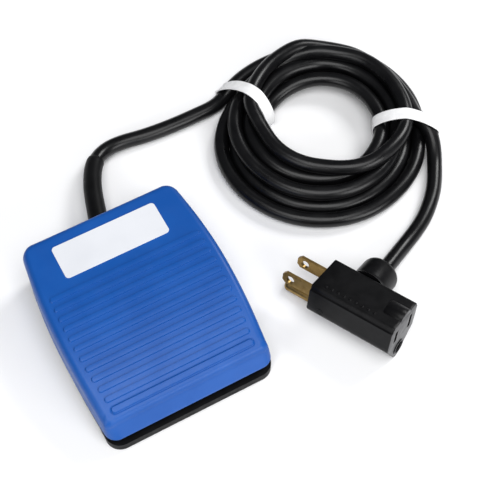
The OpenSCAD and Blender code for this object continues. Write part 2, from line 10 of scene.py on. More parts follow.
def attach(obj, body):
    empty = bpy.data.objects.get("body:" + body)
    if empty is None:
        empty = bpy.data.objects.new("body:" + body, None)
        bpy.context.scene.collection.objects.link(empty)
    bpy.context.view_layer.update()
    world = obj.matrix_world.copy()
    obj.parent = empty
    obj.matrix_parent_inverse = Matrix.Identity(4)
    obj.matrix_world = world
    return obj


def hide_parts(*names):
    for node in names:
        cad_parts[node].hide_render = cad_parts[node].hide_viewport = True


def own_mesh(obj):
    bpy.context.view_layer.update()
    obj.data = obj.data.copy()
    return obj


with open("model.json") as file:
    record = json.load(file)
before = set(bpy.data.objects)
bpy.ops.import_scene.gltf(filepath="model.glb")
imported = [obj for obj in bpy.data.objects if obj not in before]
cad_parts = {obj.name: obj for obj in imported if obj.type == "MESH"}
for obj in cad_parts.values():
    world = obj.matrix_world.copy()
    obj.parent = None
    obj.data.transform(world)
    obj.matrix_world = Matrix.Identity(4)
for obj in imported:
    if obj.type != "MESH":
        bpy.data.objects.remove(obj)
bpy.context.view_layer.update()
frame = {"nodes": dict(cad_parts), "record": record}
scene = bpy.context.scene
MM = 0.001
rng = np.random.default_rng(7)


# ------------------------------------------------------------------ helpers
def link(obj):
    scene.collection.objects.link(obj)
    return obj


def mesh_object(name, verts, faces, smooth=True, scale=MM):
    me = bpy.data.meshes.new(name)
    me.from_pydata([tuple(float(c) * scale for c in v) for v in verts], [], [tuple(int(i) for i in f) for f in faces])
    me.validate()
    me.update()
    if smooth:
        me.polygons.foreach_set("use_smooth", [True] * len(me.polygons))
    return link(bpy.data.objects.new(name, me))


def sharpen(obj, degrees=35.0):
    """Marks edges steeper than the angle sharp, so smooth shading keeps crisp lines."""
    me = obj.data
    bm = bmesh.new()
    bm.from_mesh(me)
    bm.normal_update()
    lim = math.radians(degrees)
    for e in bm.edges:
        e.smooth = not (len(e.link_faces) != 2 or e.calc_face_angle(0.0) > lim)
    for f in bm.faces:
        f.smooth = True
    bm.to_mesh(me)
    bm.free()
    me.update()


def tidy(obj, merge=1e-6):
    """Welds doubles and turns every face outwards."""
    bm = bmesh.new()
    bm.from_mesh(obj.data)
    bmesh.ops.remove_doubles(bm, verts=bm.verts, dist=merge)
    bmesh.ops.dissolve_degenerate(bm, edges=bm.edges, dist=merge)
    bmesh.ops.recalc_face_normals(bm, faces=bm.faces)
    bm.to_mesh(obj.data)
    bm.free()
    obj.data.update()


def apply_modifiers(obj):
    dg = bpy.context.evaluated_depsgraph_get()
    me = bpy.data.meshes.new_from_object(obj.evaluated_get(dg), depsgraph=dg)
    old = obj.data
    obj.modifiers.clear()
    obj.data = me
    bpy.data.meshes.remove(old)


def cut(obj, *cutters):
    """Boolean difference, applied; the cutters are removed."""
    for c in cutters:
        m = obj.modifiers.new("cut", "BOOLEAN")
        m.operation = "DIFFERENCE"
        m.solver = "EXACT"
        m.object = c
    apply_modifiers(obj)
    for c in cutters:
        me = c.data
        bpy.data.objects.remove(c)
        bpy.data.meshes.remove(me)


def join_meshes(name, parts):
    """One mesh object from several, all in the same frame."""
    bm = bmesh.new()
    for p in parts:
        bm.from_mesh(p.data)
    me = bpy.data.meshes.new(name)
    bm.to_mesh(me)
    bm.free()
    for p in parts:
        old = p.data
        bpy.data.objects.remove(p)
        bpy.data.meshes.remove(old)
    return link(bpy.data.objects.new(name, me))


def loft(rings, cap=True):
    """Closed rings of equal count to quads, with fan-free ngon caps."""
    n = len(rings[0])
    verts = [tuple(v) for r in rings for v in r]
    faces = []
    for i in range(len(rings) - 1):
        for k in range(n):
            a, b = i * n + k, i * n + (k + 1) % n
            faces.append((a, b, b + n, a + n))
    if cap:
        faces.append(tuple(range(n - 1, -1, -1)))
        faces.append(tuple((len(rings) - 1) * n + k for k in range(n)))
    return verts, faces


def catmull(points, step):
    """Centripetal Catmull-Rom through the points, then resampled to an even step."""
    P = np.array(points, float)
    P = np.vstack([2 * P[0] - P[1], P, 2 * P[-1] - P[-2]])
    out = []
    for i in range(1, len(P) - 2):
        p0, p1, p2, p3 = P[i - 1:i + 3]
        t0 = 0.0
        t1 = t0 + np.linalg.norm(p1 - p0) ** 0.5
        t2 = t1 + np.linalg.norm(p2 - p1) ** 0.5
        t3 = t2 + np.linalg.norm(p3 - p2) ** 0.5
        t = np.linspace(t1, t2, 25)[:, None]
        a1 = (t1 - t) / (t1 - t0) * p0 + (t - t0) / (t1 - t0) * p1
        a2 = (t2 - t) / (t2 - t1) * p1 + (t - t1) / (t2 - t1) * p2
        a3 = (t3 - t) / (t3 - t2) * p2 + (t - t2) / (t3 - t2) * p3
        b1 = (t2 - t) / (t2 - t0) * a1 + (t - t0) / (t2 - t0) * a2
        b2 = (t3 - t) / (t3 - t1) * a2 + (t - t1) / (t3 - t1) * a3
        out.append(((t2 - t) / (t2 - t1) * b1 + (t - t1) / (t2 - t1) * b2)[:-1])
    out.append(P[-2][None])
    return resample(np.vstack(out), step)


def resample(P, step):
    s = np.r_[0, np.cumsum(np.linalg.norm(np.diff(P, axis=0), axis=1))]
    n = max(2, int(round(s[-1] / step)) + 1)
    u = np.linspace(0, s[-1], n)
    return np.stack([np.interp(u, s, P[:, k]) for k in range(3)], 1)


def frames(P):
    """Rotation-minimising frames along a polyline."""
    T = np.gradient(P, axis=0)
    T /= np.linalg.norm(T, axis=1)[:, None]
    a = np.cross(T[0], [0, 0, 1.0])
    a /= np.linalg.norm(a)
    A = [a]
    for i in range(1, len(P)):
        a = A[-1] - T[i] * np.dot(A[-1], T[i])
        A.append(a / np.linalg.norm(a))
    A = np.array(A)
    return T, A, np.cross(T, A)


def tube(name, P, radius, sides=20, caps=True):
    """Tube mesh along P in mm, with a UV whose u goes round and v runs along in mm."""
    T, A, B = frames(P)
    R = np.full(len(P), radius) if np.isscalar(radius) else np.asarray(radius)
    ang = np.arange(sides) * 2 * math.pi / sides
    V = P[:, None, :] + R[:, None, None] * (np.cos(ang)[None, :, None] * A[:, None, :] + np.sin(ang)[None, :, None] * B[:, None, :])
    verts, faces = loft(V, cap=caps)
    obj = mesh_object(name, verts, faces)
    s = np.r_[0, np.cumsum(np.linalg.norm(np.diff(P, axis=0), axis=1))]
    uv = obj.data.uv_layers.new(name="along").data
    for f in obj.data.polygons:
        ks = [obj.data.loops[l].vertex_index for l in f.loop_indices]
        cols = [k % sides for k in ks]
        wrap = max(cols) == sides - 1 and min(cols) == 0 and len(ks) == 4
        for l, k, c in zip(f.loop_indices, ks, cols):
            u = c + sides if wrap and c == 0 else c
            uv[l].uv = (u / sides, s[k // sides] * 0.01)
    return obj


# ------------------------------------------------------------------ camera
cam_data = bpy.data.cameras.new("camera")
cam_data.sensor_fit = "HORIZONTAL"
cam_data.sensor_width = 36.0
cam_data.lens = 1174.0 / 480.0 * 36.0
cam_data.clip_start = 0.01
cam_data.clip_end = 20.0
camera = link(bpy.data.objects.new("camera", cam_data))
look = Vector((0.2311, 0.4477, -0.8638)).normalized()
up = Vector((0.4158, 0.7572, 0.5037))
up = (up - look * up.dot(look)).normalized()
right = look.cross(up)
camera.matrix_world = Matrix((
    (right.x, up.x, -look.x, -0.0711),
    (right.y, up.y, -look.y, -0.2325),
    (right.z, up.z, -look.z, 0.4867),
    (0, 0, 0, 1)))
scene.camera = camera


# ------------------------------------------------------------------ the lead
D = 7.4
LEAD = [(2, 50, 9), (2, 52, 9), (3.2, 59, 9), (5.1, 65.6, 9), (6.7, 71.3, 8.9), (8.8, 77.1, 8.4), (11.4, 82.9, 7.6),
        (14.2, 87.8, 6.7), (17.2, 91.4, 5.9), (21.2, 94.1, 5.2), (26.2, 95.7, 4.6), (33.2, 95.9, 4.1), (43.6, 94.4, 3.8),
        (52, 93.5, 3.8), (61.8, 93.0, 3.8), (70, 92.9, 3.8), (78, 93.0, 3.8), (86.0, 93.7, 4.0)]
TAIL = [(167.5, 31.0, 9.7), (167.7, 26.0, 8.7), (167.0, 20.6, 7.2), (165.1, 15, 5.6), (162.2, 9.4, 4.3), (158.5, 3.4, 3.8), (153.8, -3, 3.8), (147.4, -9.2, 3.8),
        (140.8, -14.3, 3.8), (133.4, -18.4, 3.8), (126.6, -21.6, 4.1), (120, -24.8, 5.1), (113, -28.3, 6.6),
        (106.4, -31.6, 8.2), (102, -33.7, 9.6)]
CX, CY = 122.0, 53.0

# the coil, wound clockwise: (angle, distance from the centre, height) of the lead's centre line
WIND = [(122, 52.0, 4.2), (100, 51.2, 3.9), (61.3, 51.2, 3.9), (-22, 49.0, 3.9), (-65, 48.9, 3.9), (-118.7, 49.5, 3.9),
        (-190, 49.2, 3.9), (-231, 45.2, 3.9), (-298.7, 43.9, 3.9), (-382, 41.7, 3.9), (-478.7, 42.2, 3.9), (-550, 42.0, 3.9),
        (-591, 38.0, 3.9), (-658.7, 36.9, 3.9), (-742, 34.5, 3.9), (-838.7, 35.0, 3.9), (-910, 34.6, 4.2),
        (-951, 32.0, 6.5), (-1018.7, 33.4, 10.2), (-1102, 33.4, 10.3), (-1198.7, 32.3, 10.3), (-1270, 33.3, 10.4),
        (-1311, 34.6, 10.3), (-1378.7, 40.6, 10.3), (-1462, 39.8, 10.3), (-1558.7, 39.3, 10.3), (-1630, 40.5, 10.4),
        (-1671, 41.4, 10.3), (-1705, 40.6, 11.2), (-1738.7, 42.6, 16.0), (-1773, 43.6, 16.7), (-1822, 42.6, 16.7),
        (-1870, 36.6, 16.9), (-1896, 32.2, 14.8), (-1925, 29.3, 12.7), (-1990, 31.0, 14.5), (-2031, 37.4, 17.2), (-2055, 39.6, 17.6),
        (-2078, 41.8, 16.8), (-2102, 45.2, 14.4), (-2123, 49.3, 11.4), (-2140, 48.3, 10.3), (-2159, 47.0, 10.3),
        (-2174, 47.0, 10.4), (-2182, 47.6, 10.3)]


def smooth(x):
    x = np.clip(x, 0, 1)
    return x * x * (3 - 2 * x)


def hermite(x, y, q):
    """Monotone cubic through (x, y), read at q."""
    h = np.diff(x)
    m = np.diff(y) / h
    g = np.zeros(len(x))
    for i in range(1, len(x) - 1):
        if m[i - 1] * m[i] > 0:
            w1, w2 = 2 * h[i] + h[i - 1], h[i] + 2 * h[i - 1]
            g[i] = (w1 + w2) / (w1 / m[i - 1] + w2 / m[i])
    g[0], g[-1] = m[0], m[-1]
    k = np.clip(np.searchsorted(x, q, side="right") - 1, 0, len(x) - 2)
    t = (q - x[k]) / h[k]
    return ((2 * t ** 3 - 3 * t ** 2 + 1) * y[k] + (t ** 3 - 2 * t ** 2 + t) * h[k] * g[k]
            + (-2 * t ** 3 + 3 * t ** 2) * y[k + 1] + (t ** 3 - t ** 2) * h[k] * g[k + 1])


wind = np.array(WIND, float)
turn = np.append(np.arange(0, 2304, 12.0), 2304.0)
wd = hermite(122.0 - wind[:, 0], wind[:, 1], turn)
wz = hermite(122.0 - wind[:, 0], wind[:, 2], turn)
wa = np.radians(122.0 - turn)
coil_pts = [tuple(p) for p in np.stack([CX + wd * np.cos(wa), CY + wd * np.sin(wa), wz], 1)]
route = LEAD + coil_pts + TAIL
P0 = catmull(route, 2.0)


def settle(P0, steps=220):
    """Lets the turns lie on and beside each other: contact, floor, a little weight, and a stiff jacket."""
    P = P0.copy()
    n = len(P)
    idx = np.arange(n)
    s0 = idx * 2.0
    free = (s0 > 60) & (s0 < s0[-1] - 60)
    in_coil = np.hypot(P0[:, 0] - CX, P0[:, 1] - CY) < 60
    floor = np.where(in_coil, 3.95, 3.75)
    # the last turn is pressed into the one below where it slides off to the outside
    wa_ = np.degrees(np.unwrap(np.arctan2(P0[:, 1] - CY, P0[:, 0] - CX)))
    wa_ += 122.0 - wa_[np.argmin(np.linalg.norm(P0 - np.array(coil_pts[0]), axis=1))]
    pressed = ((wa_ < -1690) & (wa_ > -1765)) | ((wa_ < -2045) & (wa_ > -2122))
    # a hand-wound bundle is never perfectly even
    wob = np.zeros(n)
    for wl, amp in ((88.0, 0.30), (37.0, 0.14)):
        wob += amp * np.sin(s0 / wl * 2 * math.pi + rng.uniform(0, 6.28))
    out = P[:, :2] - [CX, CY]
    out /= np.linalg.norm(out, axis=1)[:, None]
    fade = np.clip((s0 - 60) / 40, 0, 1) * np.clip((s0[-1] - 60 - s0) / 40, 0, 1)
    P[:, :2] += out * (wob * in_coil * fade)[:, None]
    ref = P.copy()
    for it in range(steps):
        if it % 8 == 0:
            d = np.linalg.norm(P[:, None, :] - P[None, :, :], axis=2)
            I, J = np.nonzero((d < D + 1.2) & (idx[None, :] - idx[:, None] > 10))
        v = P[J] - P[I]
        L = np.linalg.norm(v, axis=1)
        pen = np.maximum(0, np.where(pressed[I] & pressed[J], 4.4, np.where(pressed[I] | pressed[J], 6.5, D + 0.04)) - L)
        push = v / np.maximum(L, 1e-6)[:, None] * (0.5 * pen)[:, None]
        acc = np.zeros_like(P)
        cnt = np.zeros(n)
        np.add.at(acc, J, push)
        np.add.at(acc, I, -push)
        np.add.at(cnt, I, (pen > 0) * 1.0)
        np.add.at(cnt, J, (pen > 0) * 1.0)
        acc /= np.maximum(cnt / 2.0, 1)[:, None]
        P = P + acc * free[:, None]
        P[:, 2] -= 0.02 * (free & in_coil)
        disp = P - ref
        sm = disp.copy()
        for _ in range(2):
            sm[1:-1] = 0.25 * sm[:-2] + 0.5 * sm[1:-1] + 0.25 * sm[2:]
        disp = 0.75 * sm + 0.25 * disp
        disp[:, :2] *= 0.998
        P = ref + disp
        P[:, 2] = np.maximum(P[:, 2], floor)
        P[~free] = ref[~free]
    return P


lead_path = settle(P0)
for _ in range(2):  # takes the last small kinks out
    lead_path[1:-1] = 0.25 * lead_path[:-2] + 0.5 * lead_path[1:-1] + 0.25 * lead_path[2:]
lead = tube("mains_lead", lead_path, D / 2, sides=24)
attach(lead, "base")
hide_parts("cord_lead", "cord_coil", "cord_tail")

# moulded sleeve where the lead leaves the pedal: tapers, ends in a small lip
arc = np.r_[0, np.cumsum(np.linalg.norm(np.diff(lead_path, axis=0), axis=1))]
SLEEVE = 45.0
inner = lead_path[arc < SLEEVE]
sleeve_pts = resample(inner, 1.2)
sl = np.r_[0, np.cumsum(np.linalg.norm(np.diff(sleeve_pts, axis=0), axis=1))]
t = sl / sl[-1]
sleeve_r = 4.75 - 0.38 * t
sleeve_r = np.where(sl > sl[-1] - 0.5, sleeve_r - 0.18, sleeve_r)
end_dir = sleeve_pts[-1] - sleeve_pts[-2]
end_dir /= np.linalg.norm(end_dir)
sleeve_pts = np.vstack([sleeve_pts, sleeve_pts[-1] + end_dir * 0.15, sleeve_pts[-1] + end_dir * 0.18])
sleeve_r = np.r_[sleeve_r, sleeve_r[-1] - 0.22, D / 2 - 0.05]
sleeve = tube("lead_sleeve", sleeve_pts, sleeve_r, sides=28)
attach(sleeve, "base")
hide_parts("cord_sleeve")


# ------------------------------------------------------------------ ties
def strands_at(origin, along, normal, off):
    """Centres (s, z) where the lead crosses the upright plane through origin + off*normal."""
    o = np.array(origin, float) + off * np.array(normal, float)
    rel = lead_path[:, :2] - o
    side = rel @ np.array(normal, float)
    s = rel @ np.array(along, float)
    hits = []
    for i in np.nonzero(side[:-1] * side[1:] <= 0)[0]:
        if side[i] == side[i + 1]:
            continue
        f = side[i] / (side[i] - side[i + 1])
        sv = s[i] + f * (s[i + 1] - s[i])
        zv = lead_path[i, 2] + f * (lead_path[i + 1, 2] - lead_path[i, 2])
        # a strand cut at a slant is wider across
        t = lead_path[i + 1] - lead_path[i]
        t = t / np.linalg.norm(t)
        c = abs(float(t[:2] @ np.array(normal, float)))
        if -9 < sv < 48 and c > 0.35:
            hits.append((sv, zv, D / 2 / c))
    return hits


def band_ring(origin, along, normal, offs, gap, n=120):
    """Taut loop round the strands in the given planes, rounder than their hull."""
    cl = []
    for off in offs:
        for s, z, rx in strands_at(origin, along, normal, off):
            for a in np.linspace(0, 2 * math.pi, 40, endpoint=False):
                cl.append((s + (rx + gap) * math.cos(a), z + (D / 2 + gap) * math.sin(a)))
    cl = np.array(cl)
    m = 360
    phi = np.arange(m) * 2 * math.pi / m
    h = (cl @ np.stack([np.cos(phi), np.sin(phi)])).max(0)
    q = np.arange(-70, 71)
    ker = np.exp(-(q / 20.0) ** 2 / 2)
    ker /= ker.sum()
    hs = sum(k * np.roll(h, -v) for k, v in zip(ker, q))
    # never inside the strands
    hs = np.maximum(hs, h)
    ker = np.exp(-(q / 6.0) ** 2 / 2)
    ker /= ker.sum()
    hs = sum(k * np.roll(hs, -v) for k, v in zip(ker, q)) + 0.04
    dh = (np.roll(hs, -1) - np.roll(hs, 1)) / (2 * 2 * math.pi / m)
    ring = np.stack([hs * np.cos(phi) - dh * np.sin(phi), hs * np.sin(phi) + dh * np.cos(phi)], 1)
    ring = np.vstack([ring, ring[:1]])
    u = np.r_[0, np.cumsum(np.linalg.norm(np.diff(ring, axis=0), axis=1))]
    # start every ring at the same place: straight down from the middle
    mid = (ring[:, 0].min() + ring[:, 0].max()) / 2
    t = np.linspace(0, u[-1], n, endpoint=False)
    even = np.stack([np.interp(t, u, ring[:, 0]), np.interp(t, u, ring[:, 1])], 1)
    k = np.argmin(np.where(even[:, 1] < 5, abs(even[:, 0] - mid), 1e9))
    t = (t + t[k]) % u[-1]
    return np.stack([np.interp(t, u, ring[:, 0]), np.interp(t, u, ring[:, 1])], 1)


def tie(name, origin, angle, width, node, seed, bow=0.0):
    a = math.radians(angle)
    along = (math.cos(a), math.sin(a))
    normal = (-math.sin(a), math.cos(a))
    r2 = np.random.default_rng(seed)
    cols = 13
    offs = np.linspace(-width / 2, width / 2, cols)
    n = 120
    # one taut strip over the strands of its whole width, and not a mould of each strand
    mean = band_ring(origin, along, normal, offs * 0.72, 0.05, n)
    base = [mean for _ in offs]
    ph = r2.uniform(0, 6.28, 6)
    def surf(thick):
        rings = []
        for c, o in enumerate(offs):
            e = abs(o) / (width / 2)
            ring = base[c]
            ctr = mean.mean(axis=0)
            d = np.roll(ring, -1, 0) - np.roll(ring, 1, 0)
            nrm = np.stack([d[:, 1], -d[:, 0]], 1)
            nrm /= np.linalg.norm(nrm, axis=1)[:, None]
            if np.mean(np.sum(nrm * (ring - ctr), 1)) < 0:
                nrm = -nrm
            k = np.arange(n) / n * 2 * math.pi
            crease = 0.10 * np.sin(9 * k + ph[0] + 3 * e) * np.sin(2 * k + ph[1]) * (0.3 + e)
            bead = 0.22 * math.exp(-((1 - e) / 0.14) ** 2)          # rolled edge
            valley = 0.10 * math.cos(o / width * 4 * math.pi + ph[2])   # lengthwise ripple
            t = thick * (0.55 + bead + 0.5 * valley + 0.4 * crease) if thick > 0 else np.zeros(n)
            q = ring + nrm * np.reshape(t, (-1, 1)) if thick > 0 else ring
            q = q.copy()
            q[:, 1] = np.maximum(q[:, 1], 0.06 if thick > 0 else 0.5)
            sway = o + bow * ((q[:, 0] - 22) / 22) ** 2
            x = origin[0] + along[0] * q[:, 0] + normal[0] * sway
            y = origin[1] + along[1] * q[:, 0] + normal[1] * sway
            rings.append(np.stack([x, y, q[:, 1]], 1))
        return rings
    outer, inner_ = surf(1.0), surf(0.0)
    loop = outer + inner_[::-1]
    m = len(loop)
    verts = [tuple(v) for r in loop for v in r]
    faces = []
    for i in range(m):
        j = (i + 1) % m
        for k in range(n):
            k2 = (k + 1) % n
            faces.append((i * n + k, i * n + k2, j * n + k2, j * n + k))
    obj = mesh_object(name, verts, faces)
    tidy(obj)
    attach(obj, "base")
    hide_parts(node)
    return obj


TIE_L = ((CX - 18.6, CY + 16.9), 110.7)
TIE_R = ((CX + 28.3, CY - 14.4), -31.5)
tie_l = tie("tie_band_left", TIE_L[0], TIE_L[1], 6.2, "tie_left", 3)
tie_r = tie("tie_band_right", TIE_R[0], TIE_R[1], 6.2, "tie_right", 5)


# ------------------------------------------------------------------ plug
PT = np.array([69.1, -11.5, 13.9])
rx, ry, rz = (math.radians(v) for v in (-16, -4.2, -63.2))
PM = np.array([list(row) for row in Matrix.Rotation(rz, 3, "Z") @ Matrix.Rotation(ry, 3, "Y") @ Matrix.Rotation(rx, 3, "X")])
X0, X1 = 16.5, 59.2
HW = 11.7


def to_world(pts):
    return np.asarray(pts, float) @ PM.T + PT


def place(obj):
    """Moves mesh points from the plug's own frame (mm) to the shared frame (m)."""
    for v in obj.data.vertices:
        v.co = Vector(to_world(np.array(v.co) / MM) * MM)
    obj.data.update()


def plug_outline(x, inset=0.0):
    """Section of the plug at x, counter-clockwise seen from the socket, starting at the top middle."""
    ridge = 14.6 + (19.0 - 14.6) * (x - X0) / (X1 - X0)
    hw = HW - inset
    top = 8.2 - inset
    half = []   # from the top middle to the bottom middle on +y
    half += [(0.0, top), (2.4, top), (4.8, top), (7.2, top), (9.0, top), (9.75, top - 0.06), (10.15, top - 0.28)]
    half += [(10.5 - inset, top - 0.75), (10.62 - inset, top - 1.2), (10.62 - inset, top - 2.05), (10.75 - inset, top - 2.3)]
    half += [(hw, top - 2.6), (hw, top - 4.4), (hw, 0.0), (hw, -3.6), (hw, -5.4), (hw - 0.22, -6.3), (hw - 0.75, -7.15)]
    # flank down to a rounded keel
    kr = 2.6
    a = math.atan2(ridge - kr - 6.6, hw - 1.2 - 0.6)          # slope of the flank
    cx_, cz_ = 0.0, -(ridge - inset) + kr
    tx, tz = cx_ + kr * math.sin(a), cz_ - kr * math.cos(a)
    sx, sz = hw - 0.75, -7.15
    for f in (0.18, 0.4, 0.62, 0.82):
        half.append((sx + (tx - sx) * f, sz + (tz - sz) * f))
    for k in range(5):
        b = a * (1 - k / 4.0)
        half.append((cx_ + kr * math.sin(b), cz_ - kr * math.cos(b)))
    other = [(-s, z) for s, z in half[1:-1]][::-1]
    return half + other


def plug_shell(name, x0, x1, end0=0.45, end1=0.45, steps=9):
    """Lofted stretch of the plug body with eased ends."""
    secs = []
    if end0:
        secs += [(x0, end0), (x0 + end0 * 0.3, end0 * 0.3)]
        xs = np.linspace(x0 + end0, x1 - (end1 or 0), steps)
    else:
        xs = np.linspace(x0, x1 - (end1 or 0), steps)
    secs += [(x, 0.0) for x in xs]
    if end1:
        secs += [(x1 - end1 * 0.3, end1 * 0.3), (x1, end1)]
    rings = [[(x, s, z) for s, z in plug_outline(x, i)] for x, i in secs]
    v, f = loft(rings)
    return mesh_object(name, v, f)


def lathe_x(name, prof, segs=48, centre=(0, 0), arc=(0, 360)):
    """Closed solid of revolution about X: prof is (x, r) from one end to the other."""
    rings = []
    a = np.radians(np.linspace(arc[0], arc[1], segs, endpoint=False))
    for x, r in prof:
        rings.append([(x, centre[0] + r * math.cos(t), centre[1] + r * math.sin(t)) for t in a])
    v, f = loft(rings)
    return mesh_object(name, v, f)


def block(name, lo, hi):
    rings = [[(x, lo[1], lo[2]), (x, hi[1], lo[2]), (x, hi[1], hi[2]), (x, lo[1], hi[2])] for x in (lo[0], hi[0])]
    v, f = loft(rings)
    o = mesh_object(name, v, f, smooth=False)
    tidy(o)
    return o


FACE_T = 2.6
body = plug_shell("plug_shell", X0, X1 - FACE_T, 0.5, 0.0)
# half-round finger ridge on top, next to the socket
fr = []
for x, k in ((49.6, 0.6), (49.9, 0.9), (50.5, 1.0), (X1 - FACE_T, 1.0)):
    a = np.radians(np.linspace(-8, 188, 29))
    ring = [(x, 4.7 * k * math.cos(t), 7.0 + (3.9 * k * math.sin(t) if k == 1.0 else 3.9 * k * math.sin(t))) for t in a]
    fr.append(ring)
v_, f_ = loft(fr)
ridge = mesh_object("finger_ridge", v_, f_)
dots = []
for k in range(9):
    prof = [(0, 0.70), (0.34, 0.66), (0.56, 0.46), (0.64, 0.2)]
    rings = [[(22.6 + 3.1 * k + r * math.cos(t), -7.5 + r * math.sin(t), 8.1 + z) for t in np.linspace(0, 2 * math.pi, 14, endpoint=False)] for z, r in prof]
    v_, f_ = loft(rings)
    dots.append(mesh_object("dot", v_, f_))
# ejector witness on the near side: a shallow ring
rings = []
for dy, r in ((0.0, 1.75), (-0.16, 1.7), (-0.18, 1.5), (-0.05, 1.4)):
    rings.append([(23.4 + r * math.cos(t), -HW + 0.02 + dy, -4.2 + r * math.sin(t)) for t in np.linspace(0, 2 * math.pi, 24, endpoint=False)])
v_, f_ = loft(rings)
eject = mesh_object("eject", v_, f_)
for o in [body, ridge, eject] + dots:
    tidy(o)
plug_obj = join_meshes("plug_moulding", [body, ridge, eject] + dots)
sharpen(plug_obj, 40)
place(plug_obj)
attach(plug_obj, "base")
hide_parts("plug_body")

# boss on the far side that takes the lead
BX, BZ, BR, BS = 34.0, -0.9, 9.1, 25.5
prof = [(HW - 0.3, BR + 0.9), (HW + 0.25, BR + 0.35), (HW + 1.0, BR + 0.05), (HW + 2.0, BR), (BS - 2.4, BR), (BS - 1.1, BR - 0.35),
        (BS - 0.35, BR - 1.15), (BS, BR - 2.3), (BS + 0.05, D / 2 + 0.9), (BS - 0.05, D / 2 + 0.45), (BS - 0.5, D / 2 + 0.08), (BS - 4.6, D / 2 - 0.05)]
rings = []
for y, r in prof:
    rings.append([(BX + r * math.cos(t), y, BZ + r * math.sin(t)) for t in np.linspace(0, 2 * math.pi, 64, endpoint=False)])
v_, f_ = loft(rings)
boss = mesh_object("lead_boss", v_, f_)
tidy(boss)
sharpen(boss, 60)
place(boss)
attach(boss, "base")
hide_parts("plug_boss")

# socket face: two slots and a ringed ground hole
face = plug_shell("socket_face", X1 - FACE_T, X1, 0.0, 0.5, steps=3)
fr = []
for x, k in ((X1 - FACE_T, 1.0), (X1 - 0.5, 1.0), (X1 - 0.12, 0.96), (X1, 0.90)):
    a = np.radians(np.linspace(-8, 188, 29))
    fr.append([(x, 4.7 * k * math.cos(t), 7.0 + 3.9 * k * math.sin(t)) for t in a])
v_, f_ = loft(fr)
ridge2 = mesh_object("finger_ridge_end", v_, f_)
ring_prof = [(X1 - 0.4, 4.0), (X1 + 0.32, 4.0), (X1 + 0.5, 3.8), (X1 + 0.5, 3.35), (X1 + 0.3, 3.15), (X1 - 0.4, 3.1)]
seg = 56
rr = []
for k in range(seg):
    t = 2 * math.pi * k / seg
    rr.append([(x, r * math.cos(t), -11.9 + r * math.sin(t)) for x, r in ring_prof])
vv = [p for r in rr for p in r]
ff = []
m_ = len(ring_prof)
for k in range(seg):
    k2 = (k + 1) % seg
    for j in range(m_):
        j2 = (j + 1) % m_
        ff.append((k * m_ + j, k * m_ + j2, k2 * m_ + j2, k2 * m_ + j))
collar = mesh_object("ground_collar", vv, ff)
for o in (face, ridge2, collar):
    tidy(o)
cut(face,
    block("c1", (X1 - 2.2, -6.35 - 1.15, -3.6), (X1 + 2, -6.35 + 1.15, 3.6)),
    block("c2", (X1 - 2.2, 6.35 - 1.15, -4.1), (X1 + 2, 6.35 + 1.15, 4.1)),
    lathe_x("c3", [(X1 - 2.3, 2.6), (X1 + 2, 2.6)], 40, (0, -11.9)))
face_obj = join_meshes("socket_plate", [face, ridge2, collar])
sharpen(face_obj, 35)
for _ in range(2):
    face_obj.data.materials.append(None)
for q_ in face_obj.data.polygons:   # the flat front gets a lighter copy of the vinyl: a painted reflection of the bright floor
    q_.material_index = 1 if q_.normal.x > 0.9 else 0
place(face_obj)
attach(face_obj, "base")
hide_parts("receptacle_face")


# ------------------------------------------------------------------ treadle cover
L = 96.0
AXZ = 31.0 - 176.7
YF, YR = -41.4, 44.4            # the tread's grid, front to rear


def z_top(y):
    y = np.asarray(y, float)
    return np.where(y >= 19, 31.0, AXZ + np.sqrt(176.7 ** 2 - np.minimum(0, y - 19) ** 2))


def z_low(y):
    return 10.0 - (np.asarray(y, float) + 48.0) * 3.5 / 96.0


def rim_half(y):
    """Half width at the rim: bowed sides."""
    return 42.2 - np.where(y >= 0, 0.0017, 0.0009) * y * y


def flare(y):
    """How far the rim stands out past the shoulder's own, tighter bow."""
    return np.where(y >= 0, 0.0, 0.0004 * y * y)


def grid_half(y):
    return 38.7 - 0.0017 * np.asarray(y, float) ** 2


# centres of the rear corner arcs (radius 6.5) and the front ones (radius 6)
YRC, YFC = L / 2 - 6.5, -(L / 2 - 6.0)
XRC = math.sqrt((294 - 6.5) ** 2 - YRC ** 2) - (294 - 42.2)
XFC = math.sqrt((555 - 6.0) ** 2 - YFC ** 2) - (555 - 42.2)


def nodes_side(y):
    """Section of the side wall: (inset, z) from the tread down to the rim."""
    zt, zb, fl = float(z_top(y)), float(z_low(y)), float(flare(y))
    out = []
    for u in np.linspace(0, 90, 12):
        a = math.radians(u)
        out.append((fl + 3.5 - 3.3 * math.sin(a), zt - 4.5 * (1 - math.cos(a))))
    zc = min(zb + 6.2, zt - 4.9)
    z1 = zt - 4.5
    top = fl + 0.2
    low = fl * 0.8 + 0.24
    for f in (0.33, 0.66, 0.85):
        out.append((top + (low - top) * f, z1 + (zc + 0.5 - z1) * f))
    out += [(low, zc + 0.35), (low - 0.06, zc), (low - 0.14, zc - 0.4)]
    for f in (0.25, 0.5, 0.75, 0.92):
        out.append(((low - 0.14) * (1 - f), zc - 0.4 + (zb + 0.12 - zc + 0.4) * f))
    out += [(0.02, zb + 0.35), (0.0, zb + 0.2), (0.12, zb)]
    return np.array(out)


def nodes_front(y):
    out = [(6.6, float(z_top(YF)))]
    out += [(6.1, 20.18), (5.65, 19.93), (5.25, 19.6), (4.92, 19.2), (4.66, 18.75), (4.48, 18.3), (4.36, 17.85), (4.28, 17.45),
            (4.22, 17.15), (4.18, 16.95), (4.15, 16.8)]
    out += [(4.10, 16.62), (4.04, 16.45), (3.97, 16.28), (3.88, 16.08), (3.74, 15.82), (3.52, 15.48)]
    for f in (0.25, 0.5, 0.75, 0.92):
        out.append((3.52 * (1 - f), 15.48 + (10.12 - 15.48) * f))
    out += [(0.06, 10.35), (0.0, 10.2), (0.12, 10.0)]
    return np.array(out)


